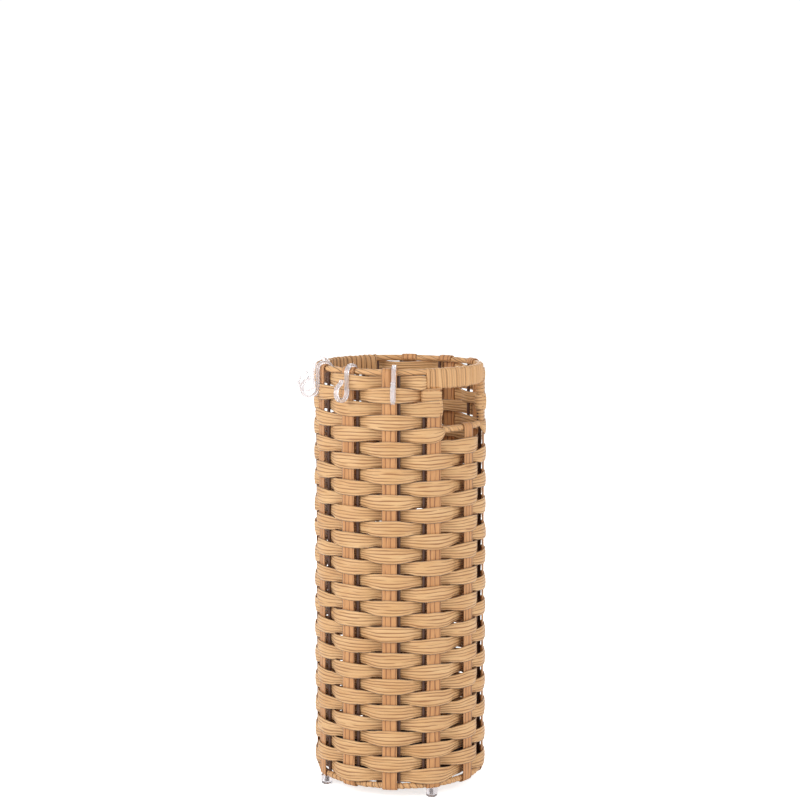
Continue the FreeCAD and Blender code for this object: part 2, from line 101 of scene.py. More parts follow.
wire_paint, add, shader = new_material("brown_wire_paint")
place = add("ShaderNodeTexCoord", output=3)
flecks = add("ShaderNodeTexNoise", {"Vector": place, "Scale": 420.0, "Detail": 4.0})
shade = blend(add, flecks, WIRE_BROWN, WIRE_WORN)
orange_peel = add("ShaderNodeTexNoise", {"Vector": place, "Scale": 900.0})
dimple = add("ShaderNodeBump", {"Height": orange_peel, "Strength": 0.15, "Distance": 0.0004})
feed(wire_paint, shader, Base_Color=shade, Normal=dimple, Roughness=0.42)
WIRE_NODES = (
    "top_ring",
    "base_ring",
    "upright_wires",
    "handle_loop_right",
    "handle_loop_left",
    "base_rods",
    "foot_legs",
)
for node in WIRE_NODES:
    paint_node(node, wire_paint)

ring_low, ring_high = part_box("top_ring")
wire_radius = (ring_high.z - ring_low.z) / 2
frame_radius = ring_high.x - wire_radius
top_level = (ring_high.z + ring_low.z) / 2
base_low, base_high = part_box("base_ring")
base_level = (base_high.z + base_low.z) / 2

# The strand that everything is woven and wound from.
# Extruded polyethylene made to look like split rattan: a flat ribbed ribbon in a honey colour.
# It is mottled along its length. Painted shade darkens the grooves between its ribs and its two edges.


def calculator(add):
    """Sums on a tree's fields."""

    def maths(operation, first, second=0.0, third=0.0):
        return add("ShaderNodeMath", {0: first, 1: second, 2: third}, operation=operation)

    return maths


def strand_surface():
    """A group that puts out a strand's colour, with painted shade in its grooves and at its edges, and its
    roughness and height, from its length and width.
    """
    group = bpy.data.node_groups.new("strand_surface", "ShaderNodeTree")
    face = group.interface
    sockets = {"Strand": "Vector", "Ribs": "Float", "Light": "Color", "Middle": "Color", "Groove": "Color"}
    sockets.update({"Groove Shade Width": "Float", "Edge Shade Width": "Float"})
    for name, kind in sockets.items():
        face.new_socket(name, in_out="INPUT", socket_type="NodeSocket" + kind)
    for name, kind in (("Color", "Color"), ("Roughness", "Float"), ("Height", "Float")):
        face.new_socket(name, in_out="OUTPUT", socket_type="NodeSocket" + kind)
    add = node_maker(group)
    maths = calculator(add)
    given = group.nodes.new("NodeGroupInput").outputs
    result = group.nodes.new("NodeGroupOutput").inputs
    along, across, piece = add("ShaderNodeSeparateXYZ", {0: given["Strand"]}).node.outputs

    def stretched_noise(lengthwise, crosswise, **settings):
        """Noise drawn out along the strand, with its own scale each way."""
        run = maths("MULTIPLY", along, lengthwise)
        rise = maths("MULTIPLY", across, crosswise)
        place = add("ShaderNodeCombineXYZ", {0: run, 1: rise, 2: piece})
        return add("ShaderNodeTexNoise", {"Vector": place, "Scale": 1.0, **settings})

    # the ribs wander and run together a little along the strand
    wander = stretched_noise(16.0, 2.0, Detail=2.0)
    shifted = maths("ADD", across, maths("MULTIPLY", maths("SUBTRACT", wander, 0.5), 0.30))
    wobble = maths("MULTIPLY", maths("SUBTRACT", wander, 0.5), 0.05)
    wave = maths("SINE", maths("MULTIPLY", maths("MULTIPLY", shifted, given["Ribs"]), 2 * math.pi))
    crest = maths("MULTIPLY_ADD", wave, 0.5, 0.5)
    # a groove's painted shade comes and goes, and is never quite closed
    depth = stretched_noise(24.0, 9.0, Detail=1.0)
    limit = maths("MULTIPLY", given["Groove Shade Width"], maths("MULTIPLY_ADD", depth, 7.0, -2.4))
    limit = maths("MAXIMUM", limit, 0.001)
    fade = {0: crest, 1: 0.0, 2: limit, 3: 1.0, 4: 0.0}
    groove = add("ShaderNodeMapRange", fade, interpolation_type="SMOOTHSTEP")
    # fine fibres, and slow changes of colour along the strand
    fibre = stretched_noise(30.0, 34.0, Detail=4.0, Roughness=0.6)
    mottle = stretched_noise(17.0, 1.4, Detail=3.0)
    tone = maths("ADD", maths("MULTIPLY", fibre, 0.55), maths("MULTIPLY", mottle, 0.65))
    tone = add("ShaderNodeMapRange", {0: tone, 1: 0.40, 2: 0.80})
    body = blend(add, tone, given["Middle"], given["Light"])
    # painted shade darkens the strand at its two edges, where it meets the next one
    inset = maths("PINGPONG", maths("ADD", across, wobble), 0.5)
    edge_shade = add("ShaderNodeMapRange", {0: inset, 1: 0.0, 2: given["Edge Shade Width"], 3: 1.0, 4: 0.0})
    # painted shade: the darker of the groove and edge masks takes the shade colour
    painted_shade = maths("MAXIMUM", groove, edge_shade)
    colour = blend(add, painted_shade, body, given["Groove"])
    height = maths("ADD", maths("MULTIPLY", crest, 0.75), maths("MULTIPLY", fibre, 0.45))
    rough = maths("MULTIPLY_ADD", fibre, 0.25, 0.38)
    for name, source in (("Color", colour), ("Roughness", rough), ("Height", height)):
        group.links.new(source, result[name])
    return group


STRAND_SURFACE = strand_surface()


def strand_finish(name, light, middle, groove, ribs=5.0, groove_width=0.2, edge_shade_width=0.03, bump=0.0011):
    """A strand's finish, read from the piece's own strand map: length in metres, and width from 0 to 1."""
    material, add, shader = new_material(name)
    strand = add("ShaderNodeAttribute", output=1, attribute_name="strand", attribute_type="GEOMETRY")
    surface = material.node_tree.nodes.new("ShaderNodeGroup")
    surface.node_tree = STRAND_SURFACE
    material.node_tree.links.new(strand, surface.inputs["Strand"])
    # the groove colour is the painted shade laid in the grooves and at the edges
    colours = {"Light": light, "Middle": middle, "Groove": groove}
    grain = {"Ribs": ribs, "Groove Shade Width": groove_width, "Edge Shade Width": edge_shade_width}
    for label, setting in {**colours, **grain}.items():
        surface.inputs[label].default_value = setting
    normal = add("ShaderNodeBump", {"Height": surface.outputs["Height"], "Strength": 0.7, "Distance": bump})
    feed(material, shader, Base_Color=surface.outputs["Color"], Normal=normal)
    feed(material, shader, Roughness=surface.outputs["Roughness"])
    feed(material, shader, Specular_IOR_Level=0.5, Sheen_Weight=0.2, Sheen_Roughness=0.35)
    return material


def shape_tree(name, inputs):
    """A geometry tree with named inputs: the tree, its node maker, what it is given and what it gives."""
    tree = bpy.data.node_groups.new(name, "GeometryNodeTree")
    tree.interface.new_socket("Geometry", in_out="OUTPUT", socket_type="NodeSocketGeometry")
    for label, (kind, default) in inputs.items():
        socket = tree.interface.new_socket(label, in_out="INPUT", socket_type="NodeSocket" + kind)
        if default is not None:
            socket.default_value = default
    given = tree.nodes.new("NodeGroupInput").outputs
    result = tree.nodes.new("NodeGroupOutput").inputs
    return tree, node_maker(tree), given, result


STRAND_INPUTS = {
    "Width": ("Float", 0.018),
    "Gauge": ("Float", 0.0013),
    "Rib Height": ("Float", 0.0002),
    "Crown": ("Float", 0.0006),
    "Finish": ("Material", None),
}


def strand_tree():
    """Lays a ribbed strand along a curve. Side points across it, so that its face looks outwards."""
    tree, add, given, result = shape_tree(
        "flat_strand",
        {
            "Curve": ("Geometry", None),
            "Side": ("Vector", None),
            "Share": ("Float", 1.0),
            "Piece": ("Float", 0.0),
            **STRAND_INPUTS,
        },
    )
    maths = calculator(add)
    length = add("GeometryNodeSplineParameter", output=1)
    store = {"data_type": "FLOAT", "domain": "POINT"}
    path = add("GeometryNodeStoreNamedAttribute", {0: given["Curve"], 2: "along", 3: length}, **store)
    path = add("GeometryNodeStoreNamedAttribute", {0: path, 2: "piece", 3: given["Piece"]}, **store)
    tangent = add("GeometryNodeInputTangent")
    facing = add("ShaderNodeVectorMath", {0: given["Side"], 1: tangent}, operation="CROSS_PRODUCT")
    path = add("GeometryNodeSetCurveNormal", {"Curve": path, "Normal": facing}, mode="FREE")
    # the section: points over the outside, zigzag for the ribs, and fewer points under it
    OUTSIDE = 11
    INSIDE = 5
    index = add("GeometryNodeInputIndex")
    on_top = maths("LESS_THAN", index, OUTSIDE - 0.5)
    top_share = maths("SUBTRACT", maths("DIVIDE", index, OUTSIDE - 1.0), 0.5)
    under_share = maths("MULTIPLY", maths("SUBTRACT", OUTSIDE + (INSIDE - 1) / 2, index), 1.0 / INSIDE)
    share = add("ShaderNodeMix", {0: on_top, 2: under_share, 3: top_share})
    zigzag = maths("SUBTRACT", maths("MULTIPLY", maths("MODULO", index, 2.0), 2.0), 1.0)
    crown = maths("MULTIPLY", maths("SUBTRACT", 0.25, maths("MULTIPLY", share, share)), 4.0)
    ribs = maths("MULTIPLY", zigzag, given["Rib Height"])
    top = maths("ADD", ribs, maths("MULTIPLY", crown, given["Crown"]))
    top = maths("ADD", top, maths("MULTIPLY", given["Gauge"], 0.5))
    height = add("ShaderNodeMix", {0: on_top, 2: maths("MULTIPLY", given["Gauge"], -0.5), 3: top})
    spot = add("ShaderNodeCombineXYZ", {0: height, 1: maths("MULTIPLY", share, given["Width"])})
    section = add("GeometryNodeCurvePrimitiveCircle", {"Resolution": OUTSIDE + INSIDE}, mode="RADIUS")
    section = add("GeometryNodeSetPosition", {0: section, 2: spot})
    across = maths("ADD", share, 0.5)
    section = add("GeometryNodeStoreNamedAttribute", {0: section, 2: "across", 3: across}, **store)
    skin = add("GeometryNodeCurveToMesh", {0: path, 1: section, 2: given["Share"], 3: True})
    read = {}
    for name in ("along", "across", "piece"):
        read[name] = add("GeometryNodeInputNamedAttribute", {0: name}, data_type="FLOAT")
    strand = add("ShaderNodeCombineXYZ", {0: read["along"], 1: read["across"], 2: read["piece"]})
    store["data_type"] = "FLOAT_VECTOR"
    skin = add("GeometryNodeStoreNamedAttribute", {0: skin, 2: "strand", 3: strand}, **store)
    skin = add("GeometryNodeSetShadeSmooth", {0: skin})
    skin = add("GeometryNodeSetMaterial", {0: skin, 2: given["Finish"]})
    tree.links.new(skin, result["Geometry"])
    return tree


STRAND_TREE = strand_tree()


def lay_strands(tree, add, given, result, **fields):
    """End a tree with strands laid on its curves."""
    strands = tree.nodes.new("GeometryNodeGroup")
    strands.node_tree = STRAND_TREE
    for label in STRAND_INPUTS:
        tree.links.new(given[label], strands.inputs[label])
    for label, source in fields.items():
        if isinstance(source, bpy.types.NodeSocket):
            tree.links.new(source, strands.inputs[label])
        else:
            strands.inputs[label].default_value = source
    skin = add("GeometryNodeRealizeInstances", {0: strands.outputs[0]})
    skin = add("GeometryNodeSetMaterial", {0: skin, 2: given["Finish"]})
    tree.links.new(skin, result["Geometry"])


def grow(name, tree, guide=None, **inputs):
    """Run a geometry tree on a guide and keep the result as a plain mesh piece."""
    seed = bpy.data.objects.new(name + "_guide", guide or bpy.data.meshes.new(name + "_guide"))
    bpy.context.collection.objects.link(seed)
    growth = seed.modifiers.new("growth", "NODES")
    growth.node_group = tree
    for socket in tree.interface.items_tree:
        label = socket.name.replace(" ", "_")
        if socket.in_out == "INPUT" and label in inputs:
            growth[socket.identifier] = inputs[label]
    bpy.context.view_layer.update()
    growing = bpy.context.evaluated_depsgraph_get()
    grown = seed.evaluated_get(growing)
    mesh = bpy.data.meshes.new_from_object(grown, preserve_all_data_layers=True, depsgraph=growing)
    bpy.data.objects.remove(seed)
    piece = bpy.data.objects.new(name, mesh)
    bpy.context.collection.objects.link(piece)
    return piece


def settle(piece, body, slot, *nodes):
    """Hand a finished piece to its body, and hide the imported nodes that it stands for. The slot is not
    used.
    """
    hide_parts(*nodes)
    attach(piece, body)


# The stakes: twelve flat strands up the outside of the uprights.
# Each is folded over the rim wire and back under the base wire. The four beside the hand openings end in
# the posts' winding, and the two under the openings are folded over the sill wire.

STAKE_LIGHT = (0.70, 0.36, 0.145, 1)
STAKE_MIDDLE = (0.50, 0.22, 0.078, 1)
# painted shade colour for the stake's grooves and edges
STAKE_SHADE = (0.28, 0.11, 0.04, 1)
stake_finish = strand_finish(
    "stake_strand", STAKE_LIGHT, STAKE_MIDDLE, STAKE_SHADE, ribs=3.0, groove_width=0.16
)

STAKE_WIDTH = 0.0182
STAKE_GAUGE = 0.0013
STAKES = 12
fold_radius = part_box("stake_04")[1].y - STAKE_GAUGE / 2 - frame_radius
POST_STAKES = (2, 6, 8, 12)
SILL_STAKES = (1, 7)
FOOT_STAKES = (3, 6, 9, 12)
FOLD_STEP = math.radians(15)
FOLD_STEPS = 13
FOOT_FOLD_STEPS = 3
RISE_STEPS = 40
sill_low, sill_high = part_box("sill_wrap_right")
sill_level = (sill_low.z + sill_high.z) / 2


def stake_path(number):
    """A stake's middle line in its own upright plane, as (radius, level) points from the base up."""

    def fold(level, turn):
        return frame_radius + fold_radius * math.cos(turn), level + fold_radius * math.sin(turn)

    base_steps = FOOT_FOLD_STEPS if number in FOOT_STAKES else FOLD_STEPS
    path = [fold(base_level, -step * FOLD_STEP) for step in range(base_steps, 0, -1)]
    last = sill_level if number in SILL_STAKES else top_level
    if number in POST_STAKES:
        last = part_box(f"stake_{number:02d}")[1].z
    for step in range(RISE_STEPS + 1):
        path.append((frame_radius + fold_radius, base_level + (last - base_level) * step / RISE_STEPS))
    if number not in POST_STAKES:
        path += [fold(last, step * FOLD_STEP) for step in range(1, FOLD_STEPS + 1)]
    return path


def guide_mesh(name, lines):
    """Open lines as one mesh, each given as (points, one side or a list of sides, shares)."""
    mesh = bpy.data.meshes.new(name)
    points, edges, sides, shares, numbers = [], [], [], [], []
    for number, (line, side, line_shares) in enumerate(lines):
        first = len(points)
        points += line
        edges += [(first + step, first + step + 1) for step in range(len(line) - 1)]
        sides += side if isinstance(side, list) else [side] * len(line)
        shares += line_shares
        numbers += [float(number)] * len(line)
    mesh.from_pydata(points, edges, [])
    side_layer = mesh.attributes.new("side", "FLOAT_VECTOR", "POINT")
    side_layer.data.foreach_set("vector", [part for side in sides for part in side])
    mesh.attributes.new("share", "FLOAT", "POINT").data.foreach_set("value", shares)
    mesh.attributes.new("number", "FLOAT", "POINT").data.foreach_set("value", numbers)
    return mesh


def guided_tree():
    """Strands along the lines of a guide mesh."""
    inputs = {"Geometry": ("Geometry", None), **STRAND_INPUTS}
    tree, add, given, result = shape_tree("strands_on_lines", inputs)
    side = add("GeometryNodeInputNamedAttribute", {0: "side"}, data_type="FLOAT_VECTOR")
    share = add("GeometryNodeInputNamedAttribute", {0: "share"}, data_type="FLOAT")
    number = add("GeometryNodeInputNamedAttribute", {0: "number"}, data_type="FLOAT")
    curve = add("GeometryNodeMeshToCurve", {0: given["Geometry"]})
    lay_strands(tree, add, given, result, Curve=curve, Side=side, Share=share, Piece=number)
    return tree


GUIDED_TREE = guided_tree()

lines = []
for number in range(1, STAKES + 1):
    turn = math.radians(360 / STAKES * (number - 1))
    out = (math.cos(turn), math.sin(turn))
    points = [(radius * out[0], radius * out[1], level) for radius, level in stake_path(number)]
    lines.append((points, (-math.sin(turn), math.cos(turn), 0), [1.0] * len(points)))
stakes = grow(
    "stakes",
    GUIDED_TREE,
    guide_mesh("stake_lines", lines),
    Width=STAKE_WIDTH,
    Gauge=STAKE_GAUGE,
    Rib_Height=0.00012,
    Crown=0.0003,
    Finish=stake_finish,
)
settle(stakes, "basket", "stakes", *[f"stake_{number:02d}" for number in range(1, STAKES + 1)])

# The woven rows below the hand openings: 26 rings of strand, each outside one stake and inside the next.
# A row is widest where it lies over a stake, and is squeezed narrow where it tucks in behind the next one.

WEAVER_LIGHT = (0.80, 0.51, 0.25, 1)
WEAVER_MIDDLE = (0.62, 0.325, 0.125, 1)
# painted shade colour for the rows' grooves and edges
WEAVER_SHADE = (0.36, 0.165, 0.062, 1)
weaver_finish = strand_finish(
    "weaver_strand", WEAVER_LIGHT, WEAVER_MIDDLE, WEAVER_SHADE, ribs=4.5, groove_width=0.3
)

WEAVER_GAUGE = 0.0015
OVER_WIDTH = 0.0197
MIDDLE_SHARE = 0.80
TUCKED_SHARE = 0.74
ROWS_IN_NODE = 2
WEAVER_NODES = [f"weavers_{number:02d}" for number in range(1, 14)]
rows_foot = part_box(WEAVER_NODES[-1])[0].z
row_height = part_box(WEAVER_NODES[0])[1].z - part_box(WEAVER_NODES[1])[1].z
full_rows = ROWS_IN_NODE * len(WEAVER_NODES)
row_pitch = row_height / ROWS_IN_NODE
over_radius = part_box(WEAVER_NODES[0])[1].x - WEAVER_GAUGE / 2
tucked_radius = frame_radius - (over_radius - frame_radius) / 2 - 0.0002


def rows_tree():
    """Rings of strand that wave in and out round the stakes, every second ring turned by one stake."""
    tree, add, given, result = shape_tree(
        "woven_rows",
        {
            "Rows": ("Int", 26),
            "First Level": ("Float", 0.03),
            "Pitch": ("Float", 0.016),
            "Waves": ("Int", 6),
            "Points": ("Int", 145),
            "Over Radius": ("Float", 0.104),
            "Tucked Radius": ("Float", 0.095),
            "Middle Share": ("Float", 0.8),
            "Tucked Share": ("Float", 0.6),
            "Squeeze": ("Float", 0.3),
            "Unevenness": ("Float", 0.0008),
            "Seed": ("Int", 3),
            **STRAND_INPUTS,
        },
    )
    maths = calculator(add)
    line = add("GeometryNodeCurvePrimitiveLine", {"Start": (0, 0, 0), "End": (1, 0, 0)})
    line = add("GeometryNodeResampleCurve", {"Curve": line, "Count": given["Points"]})
    share = add("GeometryNodeSplineParameter")
    store = {"data_type": "FLOAT", "domain": "POINT"}
    angle = maths("MULTIPLY", share, 2 * math.pi)
    swing = maths("MULTIPLY", maths("COSINE", maths("MULTIPLY", angle, given["Waves"])), -1.0)
    line = add("GeometryNodeStoreNamedAttribute", {0: line, 2: "swing", 3: swing}, **store)
    line = add("GeometryNodeStoreNamedAttribute", {0: line, 2: "angle", 3: angle}, **store)
    # one line per row, laid along a ladder of points
    ladder = add(
        "GeometryNodeMeshLine",
        {
            "Count": given["Rows"],
            "Start Location": add("ShaderNodeCombineXYZ", {2: given["First Level"]}),
            "Offset": add("ShaderNodeCombineXYZ", {2: given["Pitch"]}),
        },
    )
    row = add("GeometryNodeInputIndex")
    turned = maths("MULTIPLY", maths("MODULO", row, 2.0), maths("DIVIDE", math.pi, given["Waves"]))
    ladder = add("GeometryNodeStoreNamedAttribute", {0: ladder, 2: "turned", 3: turned}, **store)
    ladder = add("GeometryNodeStoreNamedAttribute", {0: ladder, 2: "number", 3: row}, **store)
    rows = add("GeometryNodeInstanceOnPoints", {"Points": ladder, "Instance": line})
    rows = add("GeometryNodeRealizeInstances", {0: rows})
    read = {}
    for name in ("swing", "angle", "turned", "number"):
        read[name] = add("GeometryNodeInputNamedAttribute", {0: name}, data_type="FLOAT")
    swing = read["swing"]
    eased = maths("SUBTRACT", 1.5, maths("MULTIPLY", maths("MULTIPLY", swing, swing), 0.5))
    flattened = maths("MULTIPLY", swing, eased)
    half = maths("MULTIPLY_ADD", flattened, 0.5, 0.5)
    radius = add("ShaderNodeMix", {0: half, 2: given["Tucked Radius"], 3: given["Over Radius"]})
    level = add("ShaderNodeSeparateXYZ", {0: add("GeometryNodeInputPosition")}, output=2)
    whole = maths("ADD", read["angle"], read["turned"])
    round_x = maths("COSINE", whole)
    round_y = maths("SINE", whole)

    def spot_at(reach, height):
        """A spot round the stand's axis."""
        out_x = maths("MULTIPLY", reach, round_x)
        out_y = maths("MULTIPLY", reach, round_y)
        return add("ShaderNodeCombineXYZ", {0: out_x, 1: out_y, 2: height})

    def row_noise(scale, row_step, detail, output=0):
        """Noise that runs on round the ring and differs from row to row."""
        place = spot_at(scale, maths("ADD", maths("MULTIPLY", read["number"], row_step), given["Seed"]))
        settings = {"Vector": place, "Scale": 1.0, "Detail": detail}
        return add("ShaderNodeTexNoise", settings, output=output)

    # every row wanders a little up, down, in and out, and twists
    noise = row_noise(2.6, 7.31, 2.0, output=1)
    shake = add("ShaderNodeSeparateXYZ", {0: noise})
    shake_in, shake_up, shake_twist = shake.node.outputs
    lift = maths("MULTIPLY", maths("SUBTRACT", shake_up, 0.5), maths("MULTIPLY", given["Unevenness"], 4.0))
    push = maths("MULTIPLY", maths("SUBTRACT", shake_in, 0.5), maths("MULTIPLY", given["Unevenness"], 0.8))
    radius = maths("ADD", radius, push)
    spot = spot_at(radius, maths("ADD", level, lift))
    rows = add("GeometryNodeSetPosition", {0: rows, 2: spot})
    tilt = maths("MULTIPLY", maths("SUBTRACT", shake_twist, 0.5), 0.5)
    rows = add("GeometryNodeSetCurveTilt", {0: rows, 2: tilt})
    outward = maths("MAXIMUM", swing, 0.0)
    inward = maths("MULTIPLY", maths("MINIMUM", swing, 0.0), -1.0)
    swell = maths("MULTIPLY", outward, maths("SUBTRACT", 1.0, given["Middle Share"]))
    width = maths("ADD", given["Middle Share"], swell)
    squeeze = maths("MULTIPLY", inward, maths("SUBTRACT", given["Middle Share"], given["Tucked Share"]))
    width = maths("SUBTRACT", width, squeeze)
    squeeze_noise = row_noise(9.0, 3.7, 1.0)
    loose = maths("MULTIPLY", maths("SUBTRACT", 1.2, outward), maths("SUBTRACT", squeeze_noise, 0.5))
    width = maths("MULTIPLY_ADD", loose, given["Squeeze"], width)
    number = read["number"]
    lay_strands(tree, add, given, result, Curve=rows, Side=(0, 0, -1), Share=width, Piece=number)
    return tree


rows = grow(
    "woven_rows",
    rows_tree(),
    Rows=full_rows,
    First_Level=rows_foot + row_pitch / 2 - 0.0005,
    Pitch=row_pitch,
    Waves=STAKES // 2,
    Points=12 * STAKES + 1,
    Over_Radius=over_radius,
    Tucked_Radius=tucked_radius,
    Middle_Share=MIDDLE_SHARE,
    Tucked_Share=TUCKED_SHARE,
    Unevenness=0.0007,
    Seed=3,
    Width=OVER_WIDTH,
    Gauge=WEAVER_GAUGE,
    Rib_Height=0.00016,
    Crown=0.0011,
    Finish=weaver_finish,
)
settle(rows, "basket", "weavers", *WEAVER_NODES)

# The rows beside the hand openings: five open strands on the front and five on the back.
# The first ends under the handle bands, the third is folded round the posts, and the last is twisted into
# the sill winding. The others tuck in behind the posts.

PANEL_ROWS = 5
POINT_STEP = 1.5
FIRST_ROW_END = 39.0
ROW_END = 34.5
END_FADE = 6
LOOP_WIRE_TURN = math.degrees((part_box("handle_loop_right")[1].y - wire_radius) / frame_radius)
panel_low, panel_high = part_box("panel_weavers_front")
panel_pitch = (panel_high.z - panel_low.z + 0.001) / PANEL_ROWS


def place_on_wall(angle, radius, level):
    """A point at an angle in degrees round the stand."""
    turn = math.radians(angle)
    return (radius * math.cos(turn), radius * math.sin(turn), level)


def wave_spot(angle, parity):
    """A row's middle radius and its share of the full width at an angle, as the rings below have them."""
    swing = parity * math.cos(math.radians(STAKES / 2 * angle))
    flattened = swing * (1.5 - 0.5 * swing * swing)
    radius = tucked_radius + (0.5 + 0.5 * flattened) * (over_radius - tucked_radius)
    if swing > 0:
        return radius, MIDDLE_SHARE + swing * (1 - MIDDLE_SHARE)
    return radius, MIDDLE_SHARE + swing * (MIDDLE_SHARE - TUCKED_SHARE)


def row_end(row, level):
    """A row's last points past a post's middle: (angle from the opening's middle, radius, level, share)."""
    over = over_radius
    wrap = wire_radius + WEAVER_GAUGE
    if row == 1:
        # squeezed under the end of the handle band
        under = frame_radius + WEAVER_GAUGE
        return [
            (36.8, under + 0.0028, level, 0.86),
            (35.4, under + 0.001, level, 0.76),
            (33.0, under - 0.0004, level, 0.66),
        ]
    if row == 3:
        # out over the post, round the loop's side wire and back along the inside
        return [
            (30, over + 0.0002, level, 1.04),
            (27.5, over - 0.0002, level, 1.06),
            (25.6, frame_radius + wrap * 0.98, level, 1.02),
            (24.0, frame_radius + wrap * 0.72, level, 0.98),
            (23.0, frame_radius + wrap * 0.22, level, 0.94),
            (22.9, frame_radius - wrap * 0.3, level, 0.9),
            (24.0, frame_radius - wrap * 0.8, level, 0.86),
            (25.8, frame_radius - wrap * 1.05, level, 0.8),
            (29.0, frame_radius - wrap * 1.1, level, 0.72),
            (33.0, frame_radius - wrap * 1.15, level, 0.66),
        ]
    if row == PANEL_ROWS:
        # drawn narrow and lifted into the sill winding
        return [
            (30, over, level + 0.0004, 0.98),
            (27.5, over - 0.0002, level + 0.001, 0.9),
            (25.0, over - 0.0008, level + 0.002, 0.74),
            (23.0, over - 0.0018, level + 0.0034, 0.52),
            (21.2, over - 0.0032, level + 0.005, 0.3),
            (20.2, over - 0.0042, level + 0.0058, 0.16),
        ]
    # tucked in behind the post
    return [(33.0, tucked_radius, level, 0.62), (29.0, tucked_radius, level, 0.6)]


lines = []
for middle in (90, 270):
    for row in range(1, PANEL_ROWS + 1):
        parity = -1 if row % 2 else 1
        level = panel_high.z - (row - 0.5) * panel_pitch + 0.0005
        ending = row_end(row, level)
        first_end = [(middle - 90 + angle, radius, z, share) for angle, radius, z, share in ending]
        last_end = [(middle + 90 - angle, radius, z, share) for angle, radius, z, share in ending]
        path = first_end[::-1]
        begin = FIRST_ROW_END if row == 1 else ROW_END
        steps = int((180 - 2 * begin) / POINT_STEP)
        for step in range(steps + 1):
            angle = middle - 90 + begin + step * (180 - 2 * begin) / steps
            radius, share = wave_spot(angle, parity)
            drift = 0.0007 * math.sin(3.1 * math.radians(angle) + 2.3 * row)
            drift += 0.0004 * math.sin(math.radians(7 * angle) + row)
            fade = min(1.0, step / END_FADE, (steps - step) / END_FADE)
            path.append((angle, radius, level + drift * fade, share))
        path += last_end
        points = [place_on_wall(angle, radius, z) for angle, radius, z, share in path]
        lines.append((points, (0, 0, -1), [share for angle, radius, z, share in path]))
panel_rows = grow(
    "panel_rows",
    GUIDED_TREE,
    guide_mesh("panel_lines", lines),
    Width=OVER_WIDTH * 0.985,
    Gauge=WEAVER_GAUGE,
    Rib_Height=0.00016,
    Crown=0.0011,
    Finish=weaver_finish,
)
settle(panel_rows, "basket", "weavers", "panel_weavers_front", "panel_weavers_back")

# The windings: strand wound tightly round the rim, sills, base ring, handle bands and posts.
# On the rim it lies nearly lengthwise with long slanting seams; on the rest its turns lie side by side.

WOUND_LIGHT = (0.76, 0.45, 0.205, 1)
WOUND_MIDDLE = (0.58, 0.295, 0.115, 1)
# painted shade colour for the windings' grooves and the dark lines between turns
WOUND_SHADE = (0.14, 0.055, 0.025, 1)


